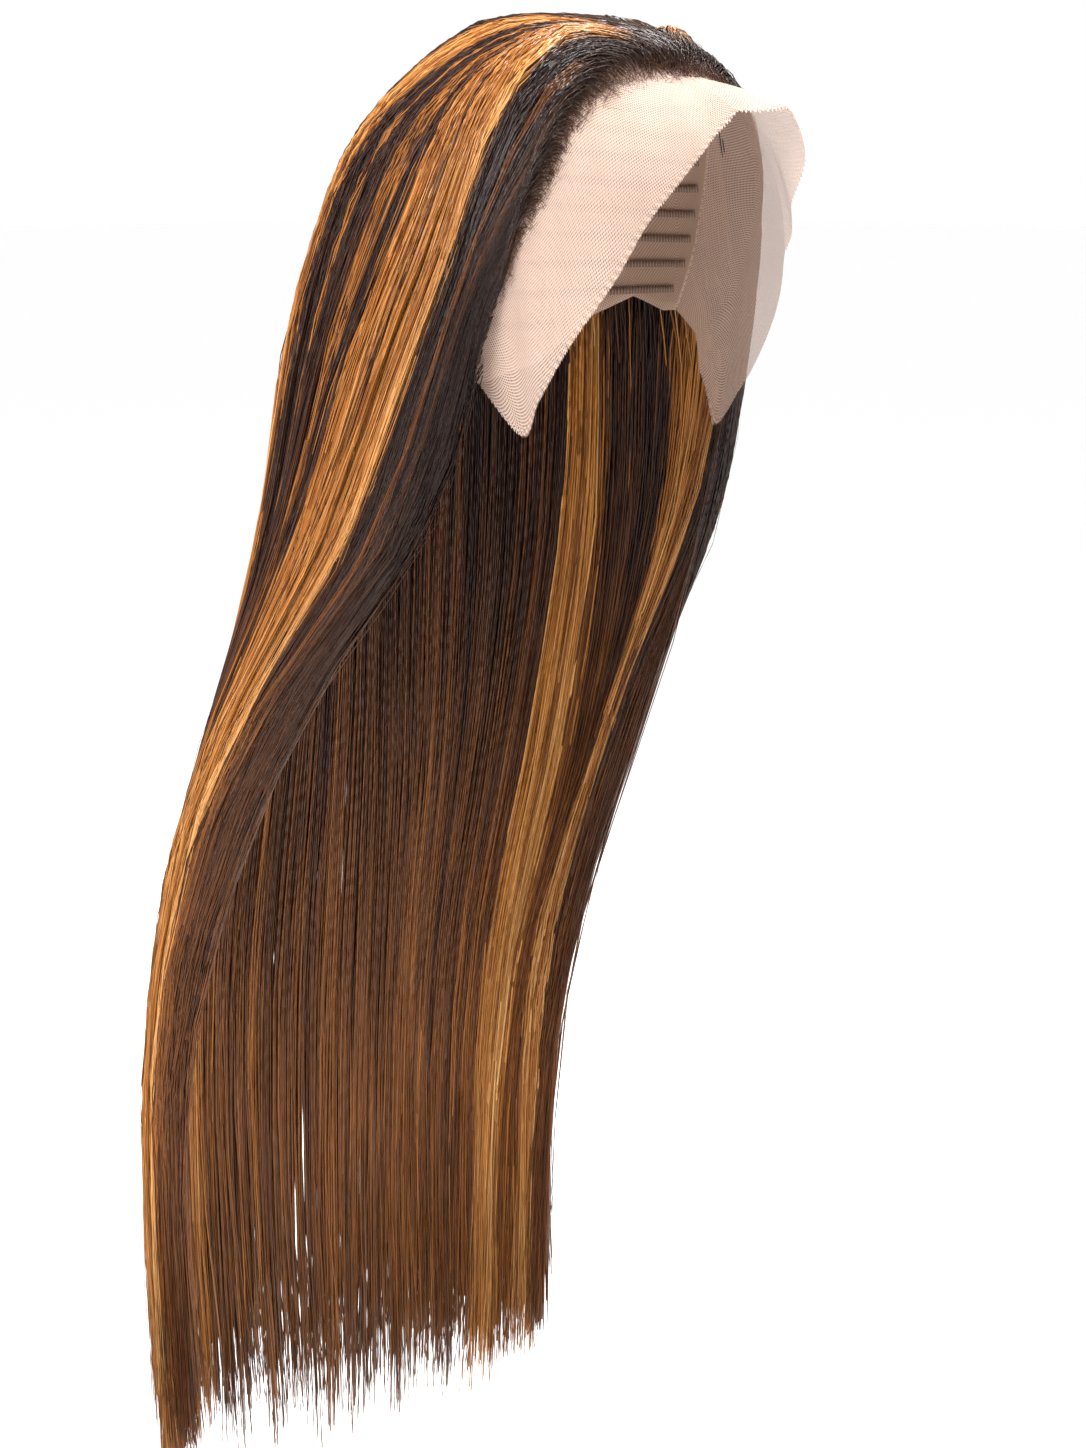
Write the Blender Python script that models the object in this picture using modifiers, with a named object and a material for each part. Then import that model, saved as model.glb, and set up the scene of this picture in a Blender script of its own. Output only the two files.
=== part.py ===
"""Lace front wig with long straight hair, dark brown with caramel highlights.

The wig keeps its worn shape. A net cap fits the head, a fine lace panel runs along the
forehead, and the hair is combed straight back from the hairline and falls behind the
shoulders to the middle of the back. The hair is built as locks side by side, each one
a backing layer with four strands standing on it that end in points at the hem.

Tables are in millimetres: x towards the wearer's left, -y the way the face looks, z up,
with the origin where the crown of a head touches the inside of the cap.
"""

import math

import bmesh
import bpy
import numpy as np
from mathutils import Vector

MM = 0.001

# Head form that the cap is cut to: a superellipsoid, taller below its centre than above
HEAD_CENTRE = np.array([0.0, 4.0, -95.0])
HEAD_HALF_WIDTH = 77.0
HEAD_HALF_LENGTH = 97.0
HEAD_RISE = 95.0
HEAD_DROP = 125.0
HEAD_POWER = 2.3

# Walls and gaps
CAP_THICKNESS = 1.2
LACE_THICKNESS = 1.0
SEAM_GAP = 0.5
LOCK_CLEARANCE = 2.3
LOCK_HALF_GAP = 0.2
HEAD_RADIUS = 88.0

# Half of the lace panel, from the middle of the forehead to the sideburn, as angles about
# the head centre: azimuth from the front, and polar angle down from the crown.
# The last column is how far the loose free edge of the left half stands off the forehead.
LACE_ROWS = (
    # along, seam_az, seam_polar, hair_az, hair_polar, free_az, free_polar, stand_off
    (0.00, 0.0, 22.0, 0.0, 38.0, 0.0, 56.0, 7.0),
    (0.15, 17.0, 23.0, 16.0, 39.0, 13.0, 67.0, 15.0),
    (0.30, 42.0, 28.0, 34.0, 44.0, 26.0, 80.0, 10.0),
    (0.45, 62.0, 38.0, 46.0, 53.0, 36.0, 97.0, 4.0),
    (0.60, 76.0, 54.0, 54.0, 70.0, 47.0, 113.0, 1.0),
    (0.75, 86.0, 74.0, 63.0, 86.0, 58.0, 129.0, 0.5),
    (0.90, 92.0, 95.0, 72.0, 104.0, 68.5, 139.0, 0.0),
    (1.00, 98.0, 110.0, 88.0, 117.0, 84.0, 127.0, 0.0),
)
LACE_HAIRLINE = 0.4
LACE_LOOSE_FROM = 0.45
LACE_STEPS_ALONG = 12
LACE_STEPS_ACROSS = 7
LACE_LOOSE_POWER = 0.75

# Rim of the cap behind the lace: over the ear, and round the nape
CAP_RIM = (
    # azimuth, polar
    (104.0, 110.0),
    (116.0, 105.0),
    (130.0, 110.0),
    (146.0, 121.0),
    (163.0, 125.0),
    (180.0, 126.0),
)
CAP_RINGS = 7

# Levels that every lock passes, as fractions of its length, with the depth of the hair,
# the height of the strands on it, and how the left side differs from the right side:
# its width as a share, and how much further back its front edge hangs
LEVELS = (
    # name, along, hair_depth, strand_height, left_width, left_back
    ("root", 0.00, 9.0, 0.0, 1.00, 0.0),
    ("rise", 0.05, 10.0, 1.0, 1.00, 0.0),
    ("crown", 0.11, 12.0, 1.6, 1.00, 0.0),
    ("side", 0.20, 12.0, 2.0, 1.00, 0.0),
    ("ear", 0.31, 12.0, 2.4, 0.97, 0.0),
    ("jaw", 0.45, 11.0, 2.8, 0.93, 0.0),
    ("shoulder", 0.60, 9.0, 2.6, 0.82, 4.0),
    ("back", 0.78, 6.0, 2.2, 0.62, 9.0),
    ("tip", 1.00, 2.0, 0.8, 0.58, 8.0),
)

# Guides of the hair on the wearer's right, from the middle of the back to the front edge.
# Each row says where the outer face of the hair is at each level, as (out, y, z).
GUIDES = (
    # place, root, rise, crown, side, ear, jaw, shoulder, back, tip
    (0.00, (0, 24, 12), (0, 40, 12), (0, 63, 5), (0, 100, -38), (0, 122, -115),
     (0, 134, -220), (0, 138, -328), (0, 144, -456), (0, 143, -660)),
    (0.30, (0, -4, 11), (10, 8, 13), (31, 33, 9), (66, 73, -34), (87, 97, -112),
     (95, 112, -218), (102, 130, -328), (107, 143, -458), (97, 143, -656)),
    (0.55, (0, -34, 3), (14, -22, 7), (40, -4, 3), (80, 20, -34), (105, 42, -112),
     (122, 69, -218), (139, 110, -327), (146, 135, -457), (134, 137, -650)),
    (0.74, (12, -57, -15), (22, -47, -5), (43, -31, -5), (77, -16, -36), (104, -2, -112),
     (123, 34, -218), (147, 97, -326), (156, 126, -456), (145, 128, -645)),
    (0.85, (54, -49, -37), (62, -46, -44), (74, -38, -58), (89, -26, -86), (102, -10, -136),
     (116, 18, -220), (146, 85, -322), (159, 117, -454), (148, 119, -640)),
    (0.93, (67, -45, -60), (73, -40, -68), (80, -33, -83), (89, -23, -109), (97, -11, -148),
     (110, 12, -221), (141, 73, -316), (160, 109, -452), (148, 113, -636)),
    (1.00, (75, -38, -85), (78, -33, -94), (80, -26, -109), (84, -19, -130), (90, -12, -158),
     (103, 10, -222), (134, 60, -312), (158, 100, -450), (147, 106, -632)),
)
LEFT_BACK_POWER = 3
LEFT_HEM_RISE = 20.0
ROOT_LIFT = 3.8
CROWN_LIFT = 10.0
ROOT_SPREAD = 3.0
ROOT_SPREAD_PLACE = 0.07
FRONT_EDGE_DEPTH = 0.4
FRONT_EDGE_SPAN = 0.22

# Locks of one side, from the middle of the back to the front edge
LOCKS = (
    # name, from_place, to_place, tone
    ("centre", 0.00, 0.14, "dark"),
    ("back", 0.14, 0.30, "dark"),
    ("back_band", 0.30, 0.43, "caramel"),
    ("crown", 0.43, 0.62, "brown"),
    ("band", 0.62, 0.78, "caramel"),
    ("temple", 0.78, 0.89, "dark"),
    ("front", 0.89, 1.00, "dark"),
)
STRANDS_PER_LOCK = 4
STRAND_STEEPNESS = 0.7
LOCK_STEPS = 24
LOCK_STEP_POWER = 1.45
HEM_NOTCH = 0.075
HEM_NOTCH_POWER = 8

# Colours, roughness
FINISHES = {
    # name: colour, roughness
    "dark": ((0.030, 0.014, 0.009, 1.0), 0.38),
    "brown": ((0.075, 0.032, 0.016, 1.0), 0.38),
    "caramel": ((0.36, 0.145, 0.040, 1.0), 0.36),
    "lace": ((0.86, 0.66, 0.58, 1.0), 0.75),
    "cap_net": ((0.50, 0.34, 0.25, 1.0), 0.80),
}


def clear_scene():
    for item in list(bpy.data.objects):
        bpy.data.objects.remove(item, do_unlink=True)


def material(name):
    colour, roughness = FINISHES[name]
    finish = bpy.data.materials.new(name)
    finish.use_nodes = True
    shader = finish.node_tree.nodes["Principled BSDF"]
    shader.inputs["Base Color"].default_value = colour
    shader.inputs["Roughness"].default_value = roughness
    shader.inputs["Metallic"].default_value = 0.0
    return finish


def smooth_curve(at, places, values):
    """Cubic curve through a table's rows, evaluated at each entry of at."""
    at = np.asarray(at, float)
    slopes = np.gradient(values, places, axis=0)
    row = np.clip(np.searchsorted(places, at, side="right") - 1, 0, len(places) - 2)
    span = places[row + 1] - places[row]
    part = (at - places[row]) / span
    if values.ndim > 1:
        span = span[:, None]
        part = part[:, None]
    square, cube = part ** 2, part ** 3
    return (
        (2 * cube - 3 * square + 1) * values[row]
        + (cube - 2 * square + part) * span * slopes[row]
        + (3 * square - 2 * cube) * values[row + 1]
        + (cube - square) * span * slopes[row + 1]
    )


def unit(vectors):
    return vectors / np.linalg.norm(vectors, axis=-1)[..., None]


def head_level(points):
    """1 on the head form, more outside it."""
    q = points - HEAD_CENTRE
    height = np.where(q[..., 2] > 0, HEAD_RISE, HEAD_DROP)
    total = (
        np.abs(q[..., 0] / HEAD_HALF_WIDTH) ** HEAD_POWER
        + np.abs(q[..., 1] / HEAD_HALF_LENGTH) ** HEAD_POWER
        + np.abs(q[..., 2] / height) ** HEAD_POWER
    )
    return total ** (1.0 / HEAD_POWER)


def on_head(azimuth, polar, lift=0.0):
    """Point of the head form at these angles in degrees, raised by lift."""
    azimuth, polar = np.radians(azimuth), np.radians(polar)
    way = np.stack(
        [
            -np.sin(azimuth) * np.sin(polar),
            -np.cos(azimuth) * np.sin(polar),
            np.cos(polar),
        ],
        -1,
    )
    reach = 1.0 / head_level(HEAD_CENTRE + way)
    return HEAD_CENTRE + way * (reach + lift)[..., None]


def lift_clear(points, lift):
    """Move points that lie closer than lift to the head form straight out from its centre."""
    level = head_level(points)
    wanted = 1.0 + lift / HEAD_RADIUS
    factor = np.where(level < wanted, wanted / level, 1.0)
    return HEAD_CENTRE + (points - HEAD_CENTRE) * factor[..., None]


def lace_angles(along):
    """Seam, hairline and free edge angles and the stand off of the lace, at -1 to 1 along it."""
    rows = np.array(LACE_ROWS)
    found = smooth_curve(np.abs(along), rows[:, 0], rows[:, 1:])
    side = np.where(np.asarray(along) < 0, 1.0, -1.0)
    found[:, [0, 2, 4]] *= side[:, None]
    found[:, 6] = np.where(side < 0, found[:, 6], 0.0)
    return found


def lace_steps():
    half = np.linspace(0.0, 1.0, LACE_STEPS_ALONG + 1)
    return np.concatenate([-half[::-1], half[1:]])


def sheet_object(name, points, finish, thickness, closed=False, pole=None):
    """Open sheet through a grid of points, thickened outwards by Solidify."""
    rows, columns = points.shape[:2]
    mesh = bmesh.new()
    verts = [[mesh.verts.new(point * MM) for point in row] for row in points]
    for i in range(rows if closed else rows - 1):
        here, following = verts[i], verts[(i + 1) % rows]
        for j in range(columns - 1):
            mesh.faces.new((here[j], following[j], following[j + 1], here[j + 1]))
    if pole is not None:
        tip = mesh.verts.new(pole * MM)
        for i in range(rows):
            mesh.faces.new((tip, verts[(i + 1) % rows][0], verts[i][0]))
    turn_outward(mesh)
    item = new_object(name, mesh, finish)
    wall = item.modifiers.new("wall", "SOLIDIFY")
    wall.thickness = thickness * MM
    wall.offset = 1.0
    return item


def turn_outward(mesh):
    """Point the faces of an open sheet away from the head's centre."""
    bmesh.ops.recalc_face_normals(mesh, faces=mesh.faces)
    centre = Vector(HEAD_CENTRE * MM)
    outward = sum(face.normal.dot(face.calc_center_median() - centre) for face in mesh.faces)
    if outward < 0:
        bmesh.ops.reverse_faces(mesh, faces=mesh.faces)


def new_object(name, mesh, finish):
    data = bpy.data.meshes.new(name)
    mesh.to_mesh(data)
    mesh.free()
    item = bpy.data.objects.new(name, data)
    item.data.materials.append(finish)
    bpy.data.collections["lace_front_wig"].objects.link(item)
    return item


def make_lace(finish):
    """Lace panel from the seam under the hair to its free edge on the forehead."""
    angles = lace_angles(lace_steps())
    across = np.linspace(0.0, 1.0, LACE_STEPS_ACROSS + 1)
    rows = []
    for seam_az, seam_polar, hair_az, hair_polar, free_az, free_polar, stand_off in angles:
        stops = (0.0, LACE_HAIRLINE, 1.0)
        azimuth = np.interp(across, stops, (seam_az, hair_az, free_az))
        polar = np.interp(across, stops, (seam_polar, hair_polar, free_polar))
        loose = np.clip((across - LACE_LOOSE_FROM) / (1.0 - LACE_LOOSE_FROM), 0.0, 1.0)
        rows.append(on_head(azimuth, polar, stand_off * loose ** LACE_LOOSE_POWER))
    return sheet_object("lace_front", np.array(rows), finish, LACE_THICKNESS)


def cap_rim():
    """Azimuth and polar angle of the cap's rim, once round from the left ear."""
    seam = lace_angles(lace_steps())
    gap = math.degrees(SEAM_GAP / HEAD_RADIUS)
    front = [(row[0], row[1] - gap) for row in seam][::-1]
    right = list(CAP_RIM)
    left = [(360.0 - azimuth, polar) for azimuth, polar in CAP_RIM[-2::-1]]
    return np.array(front + right + left)


def make_cap(finish):
    """Stretch net cap, from the lace seam over the crown to the ears and the nape."""
    share = np.linspace(1.0 / CAP_RINGS, 1.0, CAP_RINGS)
    rows = [on_head(np.full(CAP_RINGS, azimuth), polar * share) for azimuth, polar in cap_rim()]
    crown = on_head(np.array([0.0]), np.array([0.0]))[0]
    return sheet_object("wig_cap", np.array(rows), finish, CAP_THICKNESS, True, crown)


def hair_guides():
    """Places from -1 to 1 across the hair, and the guide points of each."""
    places = np.array([row[0] for row in GUIDES])
    points = np.array([row[1:] for row in GUIDES], float)
    levels = len(LEVELS)
    left = points.copy()
    left[..., 0] *= np.array([row[4] for row in LEVELS])
    left[..., 1] += np.array([row[5] for row in LEVELS]) * places[:, None] ** LEFT_BACK_POWER
    left[:, levels - 1, 2] += LEFT_HEM_RISE * places
    right = points * (-1.0, 1.0, 1.0)
    return np.concatenate([-places[::-1], places[1:]]), np.concatenate([right[::-1], left[1:]])


def level_value(along, column):
    at = np.array([row[1] for row in LEVELS])
    return smooth_curve(along, at, np.array([row[column] for row in LEVELS]))


def front_taper(place):
    """1 over most of the hair, falling to FRONT_EDGE_DEPTH at its two front edges."""
    edge = np.clip((1.0 - np.abs(place)) / FRONT_EDGE_SPAN, 0.0, 1.0)
    return FRONT_EDGE_DEPTH + (1.0 - FRONT_EDGE_DEPTH) * edge


def hair_face(place, along):
    """Outer face of the hair: place across it, from root 0 to tip 1 along it."""
    places, guides = hair_guides()
    at = np.array([row[1] for row in LEVELS])
    points = np.empty((len(place), 3))
    for value in np.unique(place):
        here = place == value
        flat = guides.reshape(len(places), -1)
        guide = smooth_curve(np.array([value]), places, flat).reshape(len(at), 3)
        points[here] = smooth_curve(along[here], at, guide)
    rise = np.clip(along / at[2], 0.0, 1.0)
    spread = ROOT_SPREAD * np.clip(place / ROOT_SPREAD_PLACE, -1.0, 1.0)
    points[:, 0] += spread * (1.0 - rise)
    crown_lift = CROWN_LIFT * front_taper(place)
    return lift_clear(points, ROOT_LIFT + (crown_lift - ROOT_LIFT) * rise)


def hair_frame(place, along):
    """Outer face, its outward direction and the direction across the locks.

    The outward direction is straight out of the head on the crown, where the guides
    start side by side, and the normal of the hair's face below the ear.
    """
    step = 0.002
    flat_place, flat_along = place.ravel(), along.ravel()
    low, high = np.clip(flat_place - step, -1, 1), np.clip(flat_place + step, -1, 1)
    across = hair_face(high, flat_along) - hair_face(low, flat_along)
    near, far = np.clip(flat_along - step, 0, 1), np.clip(flat_along + step, 0, 1)
    down = hair_face(flat_place, far) - hair_face(flat_place, near)
    normal = unit(np.cross(across, down))
    across = unit(across)
    shape = place.shape + (3,)
    face = hair_face(flat_place, flat_along)
    crown, ear = LEVELS[2][1], LEVELS[4][1]
    fallen = np.clip((flat_along - crown) / (ear - crown), 0.0, 1.0)[:, None]
    normal = unit(unit(face - HEAD_CENTRE) * (1.0 - fallen) + normal * fallen)
    return face.reshape(shape), normal.reshape(shape), across.reshape(shape)


def lock_points(first, last):
    """Outer and inner grids of one lock between two places, rows from root to tip."""
    columns = 2 * STRANDS_PER_LOCK + 1
    ridge = np.arange(columns) % 2
    place = np.linspace(first, last, columns)
    fraction = (np.arange(LOCK_STEPS + 1) / LOCK_STEPS) ** LOCK_STEP_POWER
    notch = HEM_NOTCH * (1 - ridge)
    along = fraction[:, None] * (1.0 - notch[None, :] * fraction[:, None] ** HEM_NOTCH_POWER)
    places = np.broadcast_to(place, along.shape).copy()
    face, normal, across = hair_frame(places, along)

    depth = level_value(along.ravel(), 2).reshape(along.shape) * front_taper(places)
    if last > 0:
        depth *= level_value(along.ravel(), 4).reshape(along.shape)
    spacing = np.linalg.norm(np.diff(face, axis=1), axis=-1).min(axis=1)[:, None]
    height = level_value(along.ravel(), 3).reshape(along.shape)
    height = np.minimum(height, STRAND_STEEPNESS * spacing) * ridge
    outer = face + normal * height[..., None]
    inner = lift_clear(face - normal * depth[..., None], LOCK_CLEARANCE)

    slip = np.zeros(columns)
    slip[0], slip[-1] = LOCK_HALF_GAP, -LOCK_HALF_GAP
    if last < first:
        slip = -slip
    shift = across * slip[None, :, None]
    outer, inner = outer + shift, inner + shift
    side = math.copysign(1.0, first + last)
    for grid in (outer, inner):
        grid[..., 0] = side * np.maximum(side * grid[..., 0], LOCK_HALF_GAP)
    return outer, inner[:, ::2]


def make_lock(name, first, last, finish):
    """Loft one lock: strands outside, a plain layer inside, and a wall along each edge."""
    outer_points, inner_points = lock_points(first, last)
    mesh = bmesh.new()
    outer = [[mesh.verts.new(point * MM) for point in row] for row in outer_points]
    inner = [[mesh.verts.new(point * MM) for point in row] for row in inner_points]
    columns, backing = len(outer[0]), len(inner[0])

    for k in range(LOCK_STEPS):
        for grid, count, turn in ((outer, columns, 1), (inner, backing, -1)):
            for j in range(count - 1):
                corners = (grid[k][j], grid[k + 1][j], grid[k + 1][j + 1], grid[k][j + 1])
                mesh.faces.new(corners[::turn])
        for j, inner_j, turn in ((0, 0, -1), (columns - 1, backing - 1, 1)):
            top, low = outer[k][j], outer[k + 1][j]
            inner_top, inner_low = inner[k][inner_j], inner[k + 1][inner_j]
            mesh.faces.new((top, low, inner_low)[::turn])
            mesh.faces.new((top, inner_low, inner_top)[::turn])
    for k, turn in ((0, 1), (LOCK_STEPS, -1)):
        for j in range(backing - 1):
            start, middle, end = outer[k][2 * j:2 * j + 3]
            left, right = inner[k][j], inner[k][j + 1]
            mesh.faces.new((start, middle, left)[::turn])
            mesh.faces.new((middle, right, left)[::turn])
            mesh.faces.new((middle, end, right)[::turn])
    bmesh.ops.recalc_face_normals(mesh, faces=mesh.faces)
    return new_object(name, mesh, finish)


def make_hair(finishes):
    """Locks of the right side and of the left side, all round the back of the head."""
    for side_name, side in (("right", -1.0), ("left", 1.0)):
        for lock_name, first, last, tone in LOCKS:
            name = "hair_" + side_name + "_" + lock_name
            make_lock(name, side * first, side * last, finishes[tone])


def build():
    clear_scene()
    collection = bpy.data.collections.new("lace_front_wig")
    bpy.context.scene.collection.children.link(collection)
    finishes = {name: material(name) for name in FINISHES}
    make_cap(finishes["cap_net"])
    make_lace(finishes["lace"])
    make_hair(finishes)


build()
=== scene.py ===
"""Looks of the lace front wig: net cap, lace panel, and long straight hair strand by strand.

Lengths are millimetres in the frame of the part, x towards the wearer's left, -y the way the
face looks, z up, and they are turned into metres where a mesh is made.
"""

import math

import bmesh
import bpy
import numpy as np
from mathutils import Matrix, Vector


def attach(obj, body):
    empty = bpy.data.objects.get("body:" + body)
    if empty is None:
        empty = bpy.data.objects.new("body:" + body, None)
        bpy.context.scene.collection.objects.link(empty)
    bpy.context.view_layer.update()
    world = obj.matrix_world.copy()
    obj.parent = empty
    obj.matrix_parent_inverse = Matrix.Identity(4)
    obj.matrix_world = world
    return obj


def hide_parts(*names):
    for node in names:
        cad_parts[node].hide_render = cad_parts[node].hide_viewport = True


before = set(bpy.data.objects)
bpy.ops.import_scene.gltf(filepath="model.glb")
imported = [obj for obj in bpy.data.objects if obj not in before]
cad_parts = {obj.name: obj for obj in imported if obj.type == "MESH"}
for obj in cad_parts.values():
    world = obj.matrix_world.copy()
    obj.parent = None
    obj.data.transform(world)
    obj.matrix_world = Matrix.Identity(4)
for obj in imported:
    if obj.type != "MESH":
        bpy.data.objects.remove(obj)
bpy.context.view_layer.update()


# Camera: a long lens two metres away, in front of the wearer's right side and a little
# above the wig, looking slightly down.
MM = 0.001
CAMERA_AZIMUTH = -45.0
CAMERA_PITCH = 7.4
CAMERA_DISTANCE = 2000.0
CAMERA_HEIGHT = -50.0
CAMERA_SIDE = -15.9
CAMERA_AXIS = (0.0, 4.0)
LENS = 109.4
SENSOR_HEIGHT = 36.0

turn = math.radians(CAMERA_AZIMUTH)
pitch = math.radians(CAMERA_PITCH)
towards_camera = Vector((math.sin(turn), -math.cos(turn), 0.0))
camera_right = Vector((math.cos(turn), math.sin(turn), 0.0))
looking = -towards_camera * math.cos(pitch) - Vector((0.0, 0.0, math.sin(pitch)))
camera_place = (
    Vector((*CAMERA_AXIS, CAMERA_HEIGHT))
    + towards_camera * CAMERA_DISTANCE
    + camera_right * CAMERA_SIDE
)
lens = bpy.data.cameras.new("camera")
lens.sensor_fit = "VERTICAL"
lens.sensor_height = SENSOR_HEIGHT
lens.lens = LENS
camera = bpy.data.objects.new("camera", lens)
camera.location = camera_place * MM
camera.rotation_euler = looking.to_track_quat("-Z", "Y").to_euler()
bpy.context.scene.collection.objects.link(camera)
bpy.context.scene.camera = camera


# Studio: a pale floor just under the ends of the hair, white all round, one large soft light
# on the wearer's right, one high overhead for the sheen on the crown, and one behind.
FLOOR_HEIGHT = -705.0
FLOOR_SIZE = 60000.0
FLOOR_COLOUR = (0.99, 0.99, 0.99, 1.0)
ROOM_COLOUR = (1.0, 1.0, 1.0, 1.0)
ROOM_STRENGTH = 1.0
LIGHT_AIM = Vector((0.0, 20.0, -200.0))
LIGHTS = (
    # name, azimuth, elevation, distance, size, watts
    ("key", -80.0, 38.0, 2200.0, 1000.0, 50.0),
    ("overhead", 72.0, 70.0, 1700.0, 550.0, 46.0),
    ("rim", 155.0, 25.0, 2200.0, 900.0, 20.0),
)

floor_mesh = bmesh.new()
bmesh.ops.create_grid(floor_mesh, x_segments=1, y_segments=1, size=FLOOR_SIZE * MM / 2)
bmesh.ops.translate(floor_mesh, verts=floor_mesh.verts, vec=(0.0, 0.0, FLOOR_HEIGHT * MM))
floor_data = bpy.data.meshes.new("floor")
floor_mesh.to_mesh(floor_data)
floor_mesh.free()
floor = bpy.data.objects.new("floor", floor_data)
bpy.context.scene.collection.objects.link(floor)
floor_paint = bpy.data.materials.new("floor_paint")
floor_paint.use_nodes = True
floor_shader = floor_paint.node_tree.nodes["Principled BSDF"]
floor_shader.inputs["Base Color"].default_value = FLOOR_COLOUR
floor_shader.inputs["Roughness"].default_value = 0.9
floor_data.materials.append(floor_paint)

room = bpy.data.worlds.new("room")
room.use_nodes = True
room.node_tree.nodes["Background"].inputs["Color"].default_value = ROOM_COLOUR
room.node_tree.nodes["Background"].inputs["Strength"].default_value = ROOM_STRENGTH
bpy.context.scene.world = room
bpy.context.scene.view_settings.view_transform = "Standard"

for light_name, azimuth, elevation, distance, size, watts in LIGHTS:
    around, above = math.radians(azimuth), math.radians(elevation)
    way = Vector((
        math.sin(around) * math.cos(above),
        -math.cos(around) * math.cos(above),
        math.sin(above),
    ))
    lamp = bpy.data.lights.new(light_name, "AREA")
    lamp.size = size * MM
    lamp.energy = watts
    lamp_object = bpy.data.objects.new(light_name, lamp)
    lamp_object.location = (LIGHT_AIM + way * distance) * MM
    lamp_object.rotation_euler = (-way).to_track_quat("-Z", "Y").to_euler()
    bpy.context.scene.collection.objects.link(lamp_object)


# Cap: a dome of skin-toned stretch net, cut to a medium head and sewn to the lace along the
# front. Its rim runs over the ears and low round the nape. Angles on it are in degrees:
# azimuth from the face round to the side, polar from the crown down.
HEAD_CENTRE = np.array([0.0, 4.0, -95.0])
HEAD_HALF_WIDTH = 77.0
HEAD_HALF_LENGTH = 97.0
HEAD_RISE = 95.0
HEAD_DROP = 125.0
HEAD_POWER = 2.3
HEAD_RADIUS = 88.0
LACE_ROWS = np.array((
    # along, seam_az, seam_polar, hair_az, hair_polar, free_az, free_polar
    (0.00, 0.0, 22.0, 0.0, 38.0, 0.0, 56.0),
    (0.15, 17.0, 23.0, 16.0, 39.0, 13.0, 67.0),
    (0.30, 42.0, 28.0, 34.0, 44.0, 26.0, 80.0),
    (0.45, 62.0, 38.0, 46.0, 53.0, 36.0, 97.0),
    (0.60, 76.0, 54.0, 54.0, 70.0, 47.0, 113.0),
    (0.75, 86.0, 74.0, 63.0, 86.0, 58.0, 129.0),
    (0.90, 92.0, 95.0, 72.0, 104.0, 68.5, 139.0),
    (1.00, 98.0, 110.0, 88.0, 117.0, 84.0, 127.0),
))
CAP_RIM = (
    # azimuth, polar
    (104.0, 110.0),
    (116.0, 105.0),
    (130.0, 110.0),
    (146.0, 121.0),
    (163.0, 125.0),
    (180.0, 126.0),
)
CAP_THICKNESS = 0.9
CAP_SQUARES = 72
CAP_SPAN = 330.0
CAP_NET_PITCH = 1.7
CAP_HOLES = (0.20, 0.12, 0.08, 1.0)
CAP_THREADS = (0.52, 0.355, 0.265, 1.0)
CAP_RELIEF = 0.0003


def smooth_curve(at, places, values):
    """Cubic curve through a table's rows, evaluated at each entry of at."""
    at = np.asarray(at, float)
    slopes = np.gradient(values, places, axis=0)
    row = np.clip(np.searchsorted(places, at, side="right") - 1, 0, len(places) - 2)
    span = places[row + 1] - places[row]
    part = (at - places[row]) / span
    if values.ndim > 1:
        span = span[:, None]
        part = part[:, None]
    square, cube = part ** 2, part ** 3
    return (
        (2 * cube - 3 * square + 1) * values[row]
        + (cube - 2 * square + part) * span * slopes[row]
        + (3 * square - 2 * cube) * values[row + 1]
        + (cube - square) * span * slopes[row + 1]
    )


def unit(vectors):
    return vectors / np.maximum(np.linalg.norm(vectors, axis=-1), 1e-9)[..., None]


def eased(values):
    values = np.clip(values, 0.0, 1.0)
    return values * values * (3.0 - 2.0 * values)


def head_level(points):
    """1 on the head form that the cap is cut to, more outside it."""
    q = points - HEAD_CENTRE
    height = np.where(q[..., 2] > 0, HEAD_RISE, HEAD_DROP)
    total = (
        np.abs(q[..., 0] / HEAD_HALF_WIDTH) ** HEAD_POWER
        + np.abs(q[..., 1] / HEAD_HALF_LENGTH) ** HEAD_POWER
        + np.abs(q[..., 2] / height) ** HEAD_POWER
    )
    return total ** (1.0 / HEAD_POWER)


def on_head(azimuth, polar, lift=0.0):
    """Point of the head form at these angles in degrees, raised by lift."""
    azimuth, polar = np.radians(azimuth), np.radians(polar)
    way = np.stack(
        [
            -np.sin(azimuth) * np.sin(polar),
            -np.cos(azimuth) * np.sin(polar),
            np.cos(polar),
        ],
        -1,
    )
    reach = 1.0 / head_level(HEAD_CENTRE + way)
    return HEAD_CENTRE + way * (reach + lift)[..., None]


def lace_angles(along):
    """Seam, hairline and free edge angles of the lace, at -1 to 1 along it."""
    along = np.asarray(along, float)
    found = smooth_curve(np.abs(along), LACE_ROWS[:, 0], LACE_ROWS[:, 1:])
    found[:, [0, 2, 4]] *= -np.sign(along)[:, None]
    return found


def rim_polar(azimuth):
    """How far down the cap reaches at an azimuth in degrees."""
    steps = np.linspace(0.0, 1.0, 41)
    front = lace_angles(-steps)[:, :2]
    right = np.concatenate([front, np.array(CAP_RIM)])
    return np.interp(np.abs((azimuth + 180.0) % 360.0 - 180.0), right[:, 0], right[:, 1])


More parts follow.
